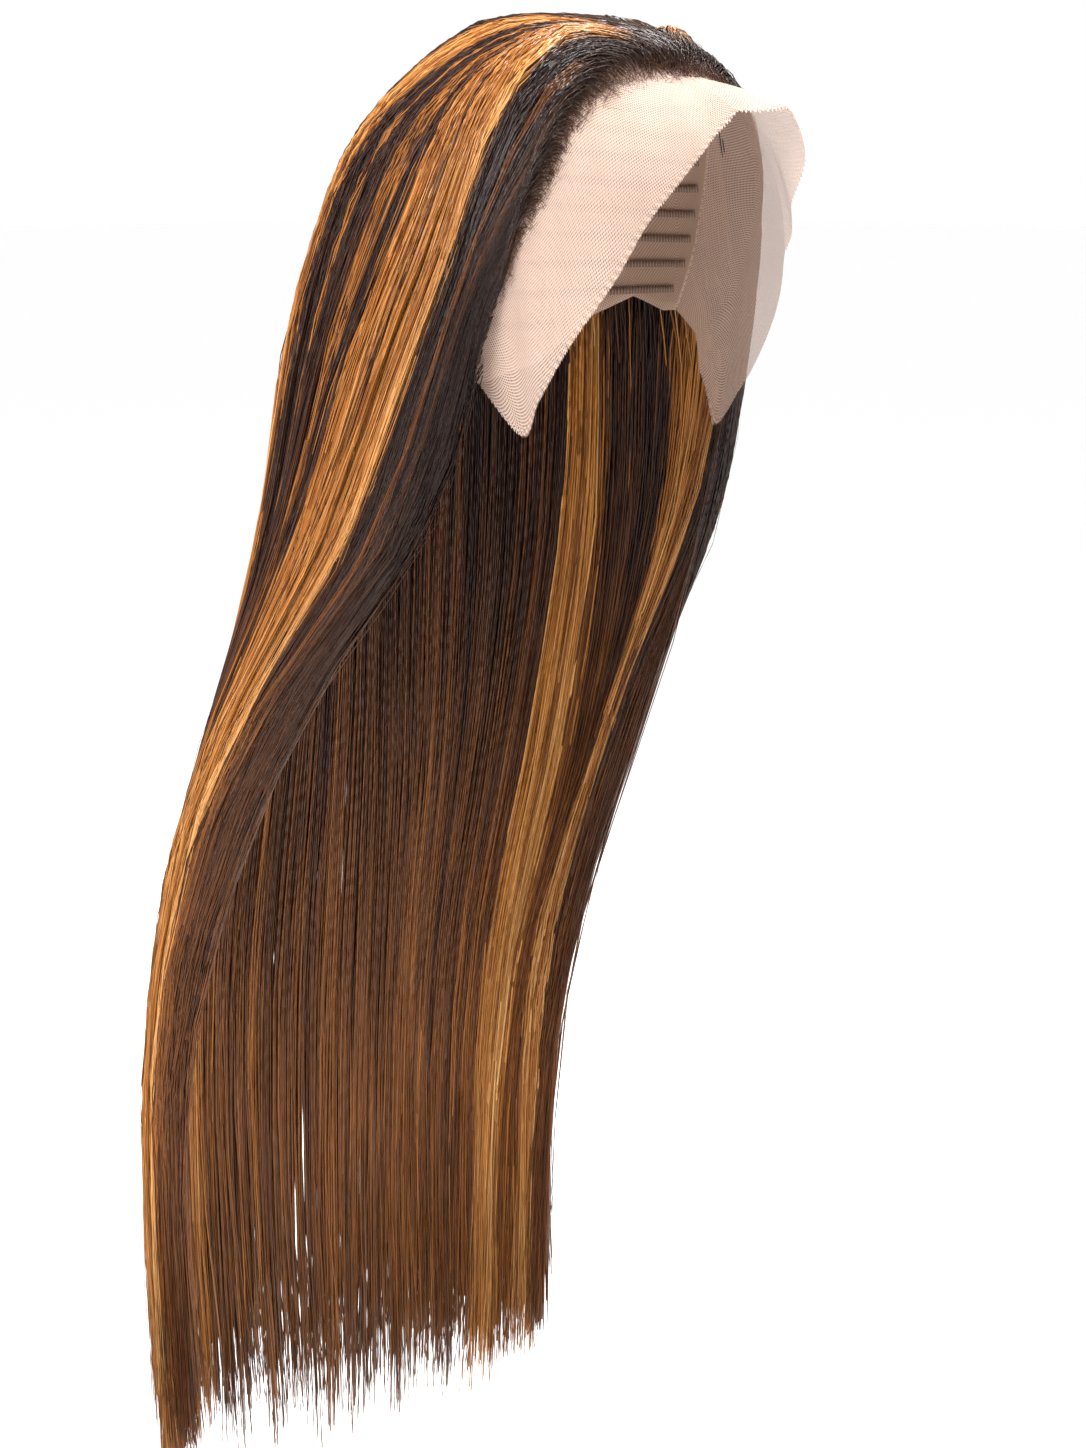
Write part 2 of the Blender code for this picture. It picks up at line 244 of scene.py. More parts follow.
class Wire:
    """One socket of a finish. Python arithmetic on it adds Math nodes to the node tree."""

    def __init__(self, finish, socket):
        self.finish = finish
        self.socket = socket

    def maths(self, operation, *values):
        return self.finish.node("ShaderNodeMath", {"operation": operation}, dict(enumerate(values)))[0]

    def __add__(self, other):
        return self.maths("ADD", self, other)

    def __sub__(self, other):
        return self.maths("SUBTRACT", self, other)

    def __rsub__(self, other):
        return self.maths("SUBTRACT", other, self)

    def __mul__(self, other):
        return self.maths("MULTIPLY", self, other)

    __radd__ = __add__
    __rmul__ = __mul__

    def cosine(self):
        return self.maths("COSINE", self)

    def ramp(self, low, high):
        """0 below low, 1 above high and smooth between."""
        settings = {"interpolation_type": "SMOOTHSTEP"}
        values = {"Value": self, "From Min": low, "From Max": high}
        return self.finish.node("ShaderNodeMapRange", settings, values)[0]


class Finish:
    """A material and the one method that adds nodes to it."""

    def __init__(self, name, **constants):
        self.material = bpy.data.materials.new(name)
        self.material.use_nodes = True
        self.tree = self.material.node_tree
        self.shader = self.tree.nodes["Principled BSDF"]
        for socket, value in constants.items():
            self.shader.inputs[socket.replace("_", " ")].default_value = value

    def node(self, kind, settings=None, values=None):
        """Add a node; settings come first, then its sockets' values or links. Gives its outputs."""
        made = self.tree.nodes.new(kind)
        for key, value in (settings or {}).items():
            if key == "stops":
                self.set_stops(made.color_ramp, value)
            else:
                setattr(made, key, value)
        for key, value in (values or {}).items():
            self.join(made.inputs[key], value)
        return [Wire(self, socket) for socket in made.outputs]

    def set_stops(self, ramp, stops):
        while len(ramp.elements) < len(stops):
            ramp.elements.new(1.0)
        for element, (place, colour) in zip(ramp.elements, stops):
            element.position = place
            element.color = (*colour, 1.0)

    def join(self, socket, value):
        if isinstance(value, Wire):
            self.tree.links.new(value.socket, socket)
        else:
            socket.default_value = value

    def set(self, socket, value):
        self.join(self.shader.inputs[socket], value)

    def uv(self):
        """The two coordinates of the piece's own map."""
        place = self.node("ShaderNodeUVMap", {"uv_map": UV_MAP})[0]
        return self.node("ShaderNodeSeparateXYZ", values={0: place})[:2]

    def point(self, x, y, z=0.0):
        return self.node("ShaderNodeCombineXYZ", values={0: x, 1: y, 2: z})[0]

    def noise(self, place, scale, detail=2.0):
        values = {"Vector": place, "Scale": scale, "Detail": detail}
        return self.node("ShaderNodeTexNoise", {"noise_dimensions": "3D"}, values)[0]

    def mix(self, factor, low, high, blend="MIX"):
        settings = {"data_type": "RGBA", "blend_type": blend}
        return self.node("ShaderNodeMix", settings, {0: factor, 6: low, 7: high})[2]

    def colours(self, factor, stops):
        return self.node("ShaderNodeValToRGB", {"stops": stops}, {0: factor})[0]

    def bump(self, height, distance):
        values = {"Height": height, "Distance": distance, "Strength": 1.0}
        self.set("Normal", self.node("ShaderNodeBump", values=values)[0])


UV_MAP = "OFBake"


def net(finish, x, y, pitch):
    """1 on the threads of a net with holes in rows that interlock, 0 in its holes."""
    wave = 2.0 * math.pi / (pitch * math.sqrt(3.0) / 2.0)
    slope = math.sqrt(3.0) / 2.0
    rows = (x * wave).cosine()
    rising = (x * (-wave / 2.0) + y * (wave * slope)).cosine()
    falling = (x * (-wave / 2.0) + y * (-wave * slope)).cosine()
    return 1.0 - (rows + rising + falling).ramp(-0.2, 1.2)


def shaped_grid(columns, rows, place, map_height=1.0):
    """A flat grid of cloth, bent so that (u, v) on it lies at place(u, v), in millimetres."""
    mesh = bmesh.new()
    bmesh.ops.create_grid(mesh, x_segments=columns, y_segments=rows, size=0.5)
    flat = np.array([vert.co[:2] for vert in mesh.verts]) + 0.5
    uv_layer = mesh.loops.layers.uv.new(UV_MAP)
    for face in mesh.faces:
        for loop in face.loops:
            u, v = flat[loop.vert.index]
            loop[uv_layer].uv = (u, v * map_height)
    for vert, point in zip(mesh.verts, place(flat[:, 0], flat[:, 1]) * MM):
        vert.co = point
    return mesh


def finish_piece(name, mesh, finish, thickness=None):
    """Make the object of a piece, smooth, with its wall if it has one, riding on the wig."""
    data = bpy.data.meshes.new(name)
    mesh.to_mesh(data)
    mesh.free()
    data.shade_smooth()
    data.materials.append(finish.material)
    piece = bpy.data.objects.new(name, data)
    bpy.context.scene.collection.objects.link(piece)
    if thickness is not None:
        wall = piece.modifiers.new("wall", "SOLIDIFY")
        wall.thickness = thickness * MM
        wall.offset = 1.0
    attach(piece, "root")
    return piece


def face_outwards(mesh):
    """Point the faces of an open dome away from the head's centre."""
    centre = Vector(HEAD_CENTRE * MM)
    outward = sum(face.normal.dot(face.calc_center_median() - centre) for face in mesh.faces)
    if outward < 0:
        bmesh.ops.reverse_faces(mesh, faces=mesh.faces)


def cap_place(u, v):
    """Square of net pulled into a dome: rings of the square become rings round the crown."""
    a, b = 2.0 * u - 1.0, 2.0 * v - 1.0
    wide = np.abs(a) > np.abs(b)
    ring = np.where(wide, a, b)
    safe = np.where(ring == 0.0, 1.0, ring)
    eighth = math.pi / 4.0
    angle = np.where(wide, eighth * b / safe, 2.0 * eighth - eighth * a / safe)
    azimuth = np.degrees(angle) + np.where(ring < 0.0, 180.0, 0.0)
    return on_head(azimuth, rim_polar(azimuth) * np.abs(ring))


cap_finish = Finish("cap_stretch_net", Roughness=0.8)
cap_u, cap_v = cap_finish.uv()
cap_threads = net(cap_finish, cap_u * CAP_SPAN, cap_v * CAP_SPAN, CAP_NET_PITCH)
cap_finish.set("Base Color", cap_finish.mix(cap_threads, CAP_HOLES, CAP_THREADS))
cap_finish.bump(cap_threads, CAP_RELIEF)
cap_mesh = shaped_grid(CAP_SQUARES, CAP_SQUARES, cap_place)
bmesh.ops.recalc_face_normals(cap_mesh, faces=cap_mesh.faces)
face_outwards(cap_mesh)
cap = finish_piece("wig_cap_net", cap_mesh, cap_finish, CAP_THICKNESS)
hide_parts("wig_cap")


# Weft rows: hair sewn into narrow bands, which are stitched across the inside of the cap
# from ear to ear, one above the other.
WEFT_POLARS = np.arange(34.0, 124.0, 8.5)
WEFT_HEIGHT = 2.4
WEFT_THICKNESS = 0.8
WEFT_STEPS = 96
WEFT_FROM, WEFT_TO = 62.0, 298.0
WEFT_RIM_MARGIN = 3.5
WEFT_LIFT = -0.15
WEFT_MAP_HEIGHT = 0.02
WEFT_STITCHES = 900.0
WEFT_GAPS = (0.150, 0.092, 0.066, 1.0)
WEFT_THREADS = (0.290, 0.190, 0.138, 1.0)
WEFT_RELIEF = 0.0004

weft_finish = Finish("weft_band", Roughness=0.7)
weft_u, weft_v = weft_finish.uv()
stitches = (weft_u * WEFT_STITCHES).cosine().ramp(-0.3, 0.6)
weft_finish.set("Base Color", weft_finish.mix(stitches, WEFT_GAPS, WEFT_THREADS))
weft_finish.bump(stitches, WEFT_RELIEF)
weft_mesh = bmesh.new()
weft_mesh.loops.layers.uv.new(UV_MAP)
for band, polar in enumerate(WEFT_POLARS):
    azimuths = np.linspace(WEFT_FROM, WEFT_TO, WEFT_STEPS)
    kept = azimuths[rim_polar(azimuths) > polar + WEFT_HEIGHT + WEFT_RIM_MARGIN]
    start, end = kept.min(), kept.max()

    def weft_place(u, v, low=polar, first=start, last=end):
        return on_head(first + (last - first) * u, low + WEFT_HEIGHT * v, WEFT_LIFT)

    row = shaped_grid(WEFT_STEPS, 1, weft_place, WEFT_MAP_HEIGHT)
    for face in row.faces:
        for loop in face.loops:
            loop[row.loops.layers.uv[UV_MAP]].uv.y += band / len(WEFT_POLARS)
    bmesh.ops.recalc_face_normals(row, faces=row.faces)
    face_outwards(row)
    bmesh.ops.reverse_faces(row, faces=row.faces)
    row_data = bpy.data.meshes.new("weft_row")
    row.to_mesh(row_data)
    row.free()
    weft_mesh.from_mesh(row_data)
    bpy.data.meshes.remove(row_data)
wefts = finish_piece("cap_weft_rows", weft_mesh, weft_finish, WEFT_THICKNESS)


# Lace front: one panel of very fine translucent net, sewn to the cap under the hair. Hairs
# are knotted in behind the hairline, and the rest is bare out to a pinked free edge.
LACE_HAIRLINE = 0.4
LACE_LOOSE_FROM = 0.40
LACE_LOOSE_POWER = 1.3
LACE_COLUMNS = 540
LACE_ROW_COUNT = 24
LACE_LENGTH = 520.0
LACE_DEPTH = 105.0
LACE_MAP_HEIGHT = 0.2
LACE_NET_PITCH = 1.5
LACE_NET_TURN = 40.0
LACE_LIFT = 0.35
LACE_CLOUD_SCALE = 0.05
LACE_HOLE_COVER = 0.43
LACE_THREAD_COVER = 0.34
LACE_CLOUD_COVER = 0.14
LACE_HOLES = (0.46, 0.30, 0.23, 1.0)
LACE_THREADS = (0.66, 0.48, 0.39, 1.0)
LACE_RELIEF = 0.0004
PINKING = 0.6
LACE_LOBE = np.array((
    # along, how far the free edge stands off the head, degrees it reaches lower
    (-1.00, 0.0, 0.0),
    (-0.20, 0.0, 0.0),
    (-0.13, 1.5, 0.0),
    (-0.07, 6.0, 0.0),
    (0.00, 15.0, 1.0),
    (0.05, 24.0, 0.0),
    (0.09, 29.5, -2.0),
    (0.13, 29.0, -3.0),
    (0.18, 22.0, -2.0),
    (0.25, 10.0, 0.0),
    (0.36, 1.5, 0.0),
    (1.00, 0.0, 0.0),
))
LACE_FOLDS = (
    # along, width along, height, from across
    (-0.11, 0.030, 1.0, 0.45),
    (-0.17, 0.026, -0.3, 0.50),
    (-0.23, 0.030, 0.9, 0.50),
    (0.13, 0.025, -1.4, 0.50),
    (0.20, 0.030, 1.6, 0.50),
    (0.27, 0.025, -1.2, 0.50),
    (0.35, 0.035, 1.4, 0.55),
)


def lace_place(u, v):
    """Panel from the seam under the hair to its free edge, with its loose lobe and soft folds."""
    along = 2.0 * u - 1.0
    seam_az, seam_polar, hair_az, hair_polar, free_az, free_polar = lace_angles(along).T
    stand_off, lower = smooth_curve(along, LACE_LOBE[:, 0], LACE_LOBE[:, 1:]).T
    inner = np.clip(v / LACE_HAIRLINE, 0.0, 1.0)
    outer = np.clip((v - LACE_HAIRLINE) / (1.0 - LACE_HAIRLINE), 0.0, 1.0)
    column = np.round(u * LACE_COLUMNS)
    tooth = np.where(column % 2 == 0, 1.0, -1.0) * math.degrees(PINKING / HEAD_RADIUS)
    azimuth = seam_az + (hair_az - seam_az) * inner + (free_az - hair_az) * outer
    polar = seam_polar + (hair_polar - seam_polar) * inner + (free_polar + lower - hair_polar) * outer
    polar = polar + np.where(v > 0.999, tooth, 0.0)
    loose = np.clip((v - LACE_LOOSE_FROM) / (1.0 - LACE_LOOSE_FROM), 0.0, 1.0)
    lift = LACE_LIFT + np.maximum(stand_off, 0.0) * loose ** LACE_LOOSE_POWER
    for middle, width, height, start in LACE_FOLDS:
        ridge = np.exp(-((along - middle) / width) ** 2)
        grown = eased((v - start) / (1.0 - start))
        lift = lift + height * ridge * grown
    return on_head(azimuth, polar, np.maximum(lift, LACE_LIFT))


lace_finish = Finish("lace_net", Roughness=0.65)
lace_u, lace_v = lace_finish.uv()
lace_x = lace_u * LACE_LENGTH
lace_y = lace_v * (LACE_DEPTH / LACE_MAP_HEIGHT)
turned = math.radians(LACE_NET_TURN)
lace_across = lace_x * math.cos(turned) + lace_y * math.sin(turned)
lace_down = lace_y * math.cos(turned) - lace_x * math.sin(turned)
lace_threads = net(lace_finish, lace_across, lace_down, LACE_NET_PITCH)
cloudy = lace_finish.noise(lace_finish.point(lace_x, lace_y), LACE_CLOUD_SCALE)
lace_cover = lace_threads * (LACE_THREAD_COVER + cloudy * LACE_CLOUD_COVER) + LACE_HOLE_COVER
lace_finish.set("Alpha", lace_cover)
lace_finish.set("Base Color", lace_finish.mix(lace_threads, LACE_HOLES, LACE_THREADS))
lace_finish.bump(lace_threads, LACE_RELIEF)
lace_mesh = shaped_grid(LACE_COLUMNS, LACE_ROW_COUNT, lace_place, LACE_MAP_HEIGHT)
bmesh.ops.recalc_face_normals(lace_mesh, faces=lace_mesh.faces)
face_outwards(lace_mesh)
lace = finish_piece("lace_front_net", lace_mesh, lace_finish)
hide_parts("lace_front")


# Hair: straight strands knotted to the lace and sewn to the cap, swept back from the
# hairline. Each lock is several hundred strands gathered in clumps that end in points.
LEVELS = (
    # name, along, hair_depth, left_width, left_back
    ("root", 0.00, 9.0, 1.00, 0.0),
    ("rise", 0.05, 10.0, 1.00, 0.0),
    ("crown", 0.11, 12.0, 1.00, 0.0),
    ("side", 0.20, 12.0, 1.00, 0.0),
    ("ear", 0.31, 12.0, 0.97, 0.0),
    ("jaw", 0.45, 11.0, 0.93, 0.0),
    ("shoulder", 0.60, 9.0, 0.82, 4.0),
    ("back", 0.78, 6.0, 0.62, 9.0),
    ("tip", 1.00, 2.0, 0.58, 8.0),
)
GUIDES = (
    # place, root, rise, crown, side, ear, jaw, shoulder, back, tip, each as (out, y, z)
    (0.00, (0, 24, 12), (0, 40, 12), (0, 63, 5), (0, 100, -38), (0, 122, -115),
     (0, 134, -220), (0, 138, -328), (0, 144, -456), (0, 143, -660)),
    (0.30, (0, -4, 11), (10, 8, 13), (31, 33, 9), (66, 73, -34), (87, 97, -112),
     (95, 112, -218), (102, 130, -328), (107, 143, -458), (97, 143, -656)),
    (0.55, (0, -34, 3), (14, -22, 7), (40, -4, 3), (80, 20, -34), (105, 42, -112),
     (122, 69, -218), (139, 110, -327), (146, 135, -457), (134, 137, -650)),
    (0.74, (12, -57, -15), (22, -47, -5), (43, -31, -5), (77, -16, -36), (104, -2, -112),
     (123, 34, -218), (147, 97, -326), (156, 126, -456), (145, 128, -645)),
    (0.85, (54, -49, -37), (62, -46, -44), (74, -38, -58), (89, -26, -86), (102, -10, -136),
     (116, 18, -220), (146, 85, -322), (159, 117, -454), (148, 119, -640)),
    (0.93, (67, -45, -60), (73, -40, -68), (80, -33, -83), (89, -23, -109), (97, -11, -148),
     (110, 12, -221), (141, 73, -316), (160, 109, -452), (148, 113, -636)),
    (1.00, (75, -38, -85), (78, -33, -94), (80, -26, -109), (84, -19, -130), (90, -12, -158),
     (103, 10, -222), (134, 60, -312), (158, 100, -450), (147, 106, -632)),
)
LEFT_BACK_POWER = 3
LEFT_HEM_RISE = 8.0
ROOT_LIFT = 3.8
CROWN_LIFT = 10.0
FRONT_EDGE_DEPTH = 0.4
FRONT_EDGE_SPAN = 0.22
FLOW_COLUMNS = 241
FLOW_ROWS = 201
JOIN = 0.11


def front_taper(place):
    """1 over most of the hair, falling to FRONT_EDGE_DEPTH at its two front edges."""
    edge = np.clip((1.0 - np.abs(place)) / FRONT_EDGE_SPAN, 0.0, 1.0)
    return FRONT_EDGE_DEPTH + (1.0 - FRONT_EDGE_DEPTH) * edge


def level_column(column):
    return np.array([row[column] for row in LEVELS])


def hair_guides():
    """Places from -1 to 1 across the hair, and the guide points of each."""
    places = np.array([row[0] for row in GUIDES])
    points = np.array([row[1:] for row in GUIDES], float)
    left = points.copy()
    left[..., 0] *= level_column(3)
    left[..., 1] += level_column(4) * places[:, None] ** LEFT_BACK_POWER
    left[:, -1, 2] += LEFT_HEM_RISE * places
    right = points * (-1.0, 1.0, 1.0)
    return np.concatenate([-places[::-1], places[1:]]), np.concatenate([right[::-1], left[1:]])


def hair_flow():
    """Grids of the hair's outer face, its outward and its sideways direction."""
    places, guides = hair_guides()
    at = level_column(1)
    columns = np.linspace(-1.0, 1.0, FLOW_COLUMNS)
    rows = np.linspace(0.0, 1.0, FLOW_ROWS)
    guide = smooth_curve(columns, places, guides.reshape(len(places), -1))
    guide = guide.reshape(FLOW_COLUMNS, len(at), 3)
    face = np.array([smooth_curve(rows, at, line) for line in guide])
    rise = np.clip(rows / at[2], 0.0, 1.0)
    lift = ROOT_LIFT + (CROWN_LIFT * front_taper(columns)[:, None] - ROOT_LIFT) * rise
    level = head_level(face)
    factor = np.maximum(1.0, (1.0 + lift / HEAD_RADIUS) / level)
    face = HEAD_CENTRE + (face - HEAD_CENTRE) * factor[..., None]
    across = unit(np.gradient(face, axis=0))
    down = np.gradient(face, axis=1)
    fallen = np.clip((rows - at[2]) / (at[4] - at[2]), 0.0, 1.0)[None, :, None]
    outward = unit(face - HEAD_CENTRE) * (1.0 - fallen) + unit(np.cross(across, down)) * fallen
    return face, unit(outward), across


flow = np.concatenate(hair_flow(), -1)


def hair_at(place, along):
    """Outer face, outward and sideways directions of the hair at each place and along."""
    x = np.clip((place + 1.0) / 2.0, 0.0, 1.0) * (FLOW_COLUMNS - 1)
    y = np.clip(along, 0.0, 1.0) * (FLOW_ROWS - 1)
    i = np.minimum(x.astype(int), FLOW_COLUMNS - 2)
    j = np.minimum(y.astype(int), FLOW_ROWS - 2)
    fx, fy = (x - i)[..., None], (y - j)[..., None]
    near = flow[i, j] * (1 - fx) + flow[i + 1, j] * fx
    far = flow[i, j + 1] * (1 - fx) + flow[i + 1, j + 1] * fx
    found = near * (1 - fy) + far * fy
    return found[..., :3], unit(found[..., 3:6]), unit(found[..., 6:])


DRIFT_LABELS = (0.0, 0.30, 0.43, 0.62, 0.78, 1.0)
DRIFT = np.array((
    # along, then the place across the hair of each label above
    (0.00, 0.0, 0.38, 0.52, 0.640, 0.725, 1.0),
    (0.11, 0.0, 0.33, 0.48, 0.610, 0.715, 1.0),
    (0.15, 0.0, 0.30, 0.445, 0.590, 0.735, 1.0),
    (0.20, 0.0, 0.295, 0.41, 0.612, 0.763, 1.0),
    (0.26, 0.0, 0.297, 0.385, 0.617, 0.798, 1.0),
    (0.35, 0.0, 0.32, 0.41, 0.592, 0.790, 1.0),
    (0.50, 0.0, 0.34, 0.45, 0.630, 0.795, 1.0),
    (0.65, 0.0, 0.34, 0.48, 0.710, 0.860, 1.0),
    (1.00, 0.0, 0.33, 0.49, 0.730, 0.880, 1.0),
))
ROOT_TABLE = (
    # place at the root, and where along the lace it is
    (0.0, 0.64, 0.725, 0.85, 0.93, 1.0),
    (0.0, 0.035, 0.075, 0.38, 0.58, 0.72),
)
SHADE_ZONES = np.array((
    # from_label, shade, share of streaks, shade of streaks
    (0.00, 0.24, 0.18, 0.50),
    (0.14, 0.22, 0.20, 0.55),
    (0.30, 0.80, 0.25, 0.42),
    (0.43, 0.26, 0.20, 0.68),
    (0.62, 0.82, 0.20, 0.50),
    (0.78, 0.20, 0.07, 0.42),
    (0.90, 0.17, 0.05, 0.38),
))
LAYERS = np.array((
    # share of the strands, from_depth, to_depth, half_width, gather
    (0.46, 0.00, 0.16, 0.29, 1.0),
    (0.20, 0.16, 0.55, 0.38, 0.45),
    (0.34, 0.55, 1.00, 0.56, 0.12),
))
STRAND_STEPS = np.array((
    0.0, 0.004, 0.012, 0.026, 0.048, 0.078, 0.115, 0.165, 0.225,
    0.30, 0.385, 0.475, 0.57, 0.665, 0.755, 0.84, 0.925, 1.0,
))
STRAND_SIDES = 3
HALF_WIDTH = 0.33
SHADE_WIDTH = 0.006
SMALL_CLUMP = 0.014
MOST_CLUMPS = 100
CLUMP_SEEDS = {-1.0: 40, 1.0: 60}
LARGE_CLUMP = 0.045
INNER_MARGIN = 1.2
EDGE_LIFT = 7.0
ROOT_BAND = 13.0
HEM_DROP = 19.0
STRAY = 2.4
SCALP_LIFT = 1.2
RISE = 13.0


def drifted(label, along):
    """Place across the hair of a strand with this label: strands shift a little on the way down."""
    times = DRIFT[:, 0]
    rows = np.array([np.interp(label, DRIFT_LABELS, places) for places in DRIFT[:, 1:]])
    row = np.clip(np.searchsorted(times, along, side="right") - 1, 0, len(times) - 2)
    part = (along - times[row]) / (times[row + 1] - times[row])
    above = np.take_along_axis(rows, row[None], 0)[0]
    below = np.take_along_axis(rows, row[None] + 1, 0)[0]
    return above + (below - above) * part


def clump_centres(seed, width):
    """Clump centres over the whole of one side, unevenly spaced, the first on the middle line."""
    count = int(1.0 / width)
    centres = (np.arange(count) + np.random.default_rng(seed).uniform(0.15, 0.85, count)) / count
    centres[0] = 0.0
    return centres


def shades(rng, label, clump):
    """How light each strand is, from 0 near black to 1 golden, by where it lies."""
    feathered = np.clip(np.abs(label) + rng.normal(0.0, 0.009, len(label)), 0.0, 0.999)
    zone = SHADE_ZONES[np.searchsorted(SHADE_ZONES[:, 0], feathered, side="right") - 1]
    clump_draw = rng.random(clump.max() + 1)[clump]
    streak = (0.65 * clump_draw + 0.35 * rng.random(len(label))) < zone[:, 2]
    shade = np.where(streak, zone[:, 3], zone[:, 1])
    clump_tone = rng.normal(0.0, 0.07, clump.max() + 1)[clump]
    return np.clip(shade + clump_tone + rng.normal(0.0, 0.08, len(label)), 0.01, 0.985)


def strand_tubes(name, points, outward, half_width, shade, along):
    """Joined mesh of closed tubes with three sides, one along each row of points."""
    count, steps = points.shape[:2]
    tangent = unit(np.gradient(points, axis=1))
    sideways = unit(np.cross(tangent, outward))
    normal = np.cross(sideways, tangent)
    angles = np.arange(STRAND_SIDES) * 2.0 * math.pi / STRAND_SIDES + math.pi / 2.0
    ring = (
        sideways[:, :, None] * np.cos(angles)[:, None] + normal[:, :, None] * np.sin(angles)[:, None]
    )
    verts = points[:, :, None] + ring * half_width[:, :, None, None]

    step, side = np.meshgrid(np.arange(steps - 1), np.arange(STRAND_SIDES), indexing="ij")
    step, side = step.ravel(), side.ravel()
    rings = np.stack([step, step, step + 1, step + 1], -1)
    turns = np.stack([side, side + 1, side + 1, side], -1)
    quads = rings * STRAND_SIDES + turns % STRAND_SIDES
    caps = np.concatenate([np.arange(STRAND_SIDES)[::-1], np.arange(STRAND_SIDES)])
    cap_rings = np.repeat([0, steps - 1], STRAND_SIDES)
    corners = np.concatenate([quads.ravel(), cap_rings * STRAND_SIDES + caps])
    corner_ring = np.concatenate([rings.ravel(), cap_rings])
    corner_turn = np.concatenate([turns.ravel(), caps]) / STRAND_SIDES
    sizes = np.concatenate([np.full(len(quads), 4), np.full(2, STRAND_SIDES)])

    offsets = np.arange(count)[:, None] * steps * STRAND_SIDES
    loops = (corners[None, :] + offsets).ravel()
    totals = np.tile(sizes, count)
    data = bpy.data.meshes.new(name)
    data.vertices.add(count * steps * STRAND_SIDES)
    data.vertices.foreach_set("co", (verts * MM).astype(np.float32).ravel())
    data.loops.add(len(loops))
    data.loops.foreach_set("vertex_index", loops.astype(np.int32))
    data.polygons.add(len(totals))
    starts = np.concatenate([[0], np.cumsum(totals)[:-1]])
    data.polygons.foreach_set("loop_start", starts.astype(np.int32))
    uv = np.empty((count, len(corners), 2), np.float32)
    uv[..., 0] = shade[:, None] + SHADE_WIDTH * corner_turn[None, :]
    uv[..., 1] = along[:, corner_ring] * 0.99 + 0.005
    data.uv_layers.new(name=UV_MAP).data.foreach_set("uv", uv.ravel())
    data.update(calc_edges=True)
    data.validate()
    data.shade_smooth()
    return data


def hanging(label, layer, along, side):
    """Points in the hair at a depth layer, with their outward and sideways directions."""
    place = drifted(label, along) * side
    face, outward, across = hair_at(place, along)
    depth = np.interp(along, level_column(1), level_column(2)) * front_taper(place)
    if side > 0:
        depth = depth * np.interp(along, level_column(1), level_column(3))
    return face - outward * (layer * (depth - INNER_MARGIN))[..., None], outward, across


# Which strands are knotted at the hairline, where the others start and where all end along
# the hair, and how far clumps and single strands stray from the even fall, in millimetres.
FRONT_LABEL = 0.74
FROM_FRONT_SHARE = (0.6, 0.14)
DEEP_START = (0.03, 0.32)
CLUMP_END = (0.955, 1.0)
SHORTER = 0.034
SHORTEST = 0.8
CLUMP_STRENGTH = (0.5, 1.25)
SMALL_PULL = (0.36, 0.3)
LARGE_PULL = (0.02, 0.26)
SHARED_SWAY = 1.3
CLUMP_SWAY = 0.7
CLUMP_LIFT = 0.8
CLUMP_WAVE = 0.5
STRAND_SWAY = 0.36
STRAND_LIFT = 0.35
FRAY_LENGTH = 0.14
FRAY_ACROSS = 2.4
FRAY_OUT = 1.8
LEAVE_INLAND, LEAVE_TOWARDS = 0.65, 0.6
BACK_RISE = 2.6
BACK_LABEL = 0.7
ROOT_SCATTER = (0.06, 0.02)


def spread_labels(rng, first, last, count):
    """Depth band, place label and depth of each strand, evenly spread within each band."""
    band = np.searchsorted(np.cumsum(LAYERS[:, 0]) * count, np.arange(count), side="right")
    label = np.zeros(count)
    for number in range(len(LAYERS)):
        within = int((band == number).sum())
        steps = (np.arange(within) + rng.random(within)) / within
        label[band == number] = first + (last - first) * rng.permutation(steps)
    return band, label, rng.uniform(LAYERS[band, 1], LAYERS[band, 2])


def clumps_of(side, band, label):
    """The clump of each strand, with the middle of that clump and of the larger one round it."""
    centre, large_centre = label.copy(), label.copy()
    clump = np.zeros(len(label), int)
    seed = CLUMP_SEEDS[side]
    for number in range(len(LAYERS)):
        chosen = band == number
        small = clump_centres(seed + number, SMALL_CLUMP)
        large = clump_centres(seed + number + 10, LARGE_CLUMP)
        nearest = np.abs(label[chosen, None] - small[None, :]).argmin(1)
        centre[chosen] = small[nearest]
        large_centre[chosen] = large[np.abs(small[nearest][:, None] - large[None, :]).argmin(1)]
        clump[chosen] = nearest + number * MOST_CLUMPS
    return clump, centre, large_centre


def strand_roots(rng, side, label):
    """Root of each strand just behind the hairline, and the way inland over the head from it."""
    root_place = drifted(label, np.zeros(len(label)))
    root_at = np.interp(root_place, *ROOT_TABLE) * side
    scatter = np.where(label < BACK_LABEL, *ROOT_SCATTER)
    root_at = root_at + rng.normal(0.0, 1.0, len(label)) * scatter
    angles = lace_angles(np.clip(root_at, -0.99, 0.99))
    back = ROOT_BAND * np.sqrt(rng.random(len(label)))
    lift = np.ones(len(label))
    root = on_head(angles[:, 2], angles[:, 3] - np.degrees(back / HEAD_RADIUS), lift)
    return root, unit(on_head(angles[:, 0], angles[:, 1], lift) - root)


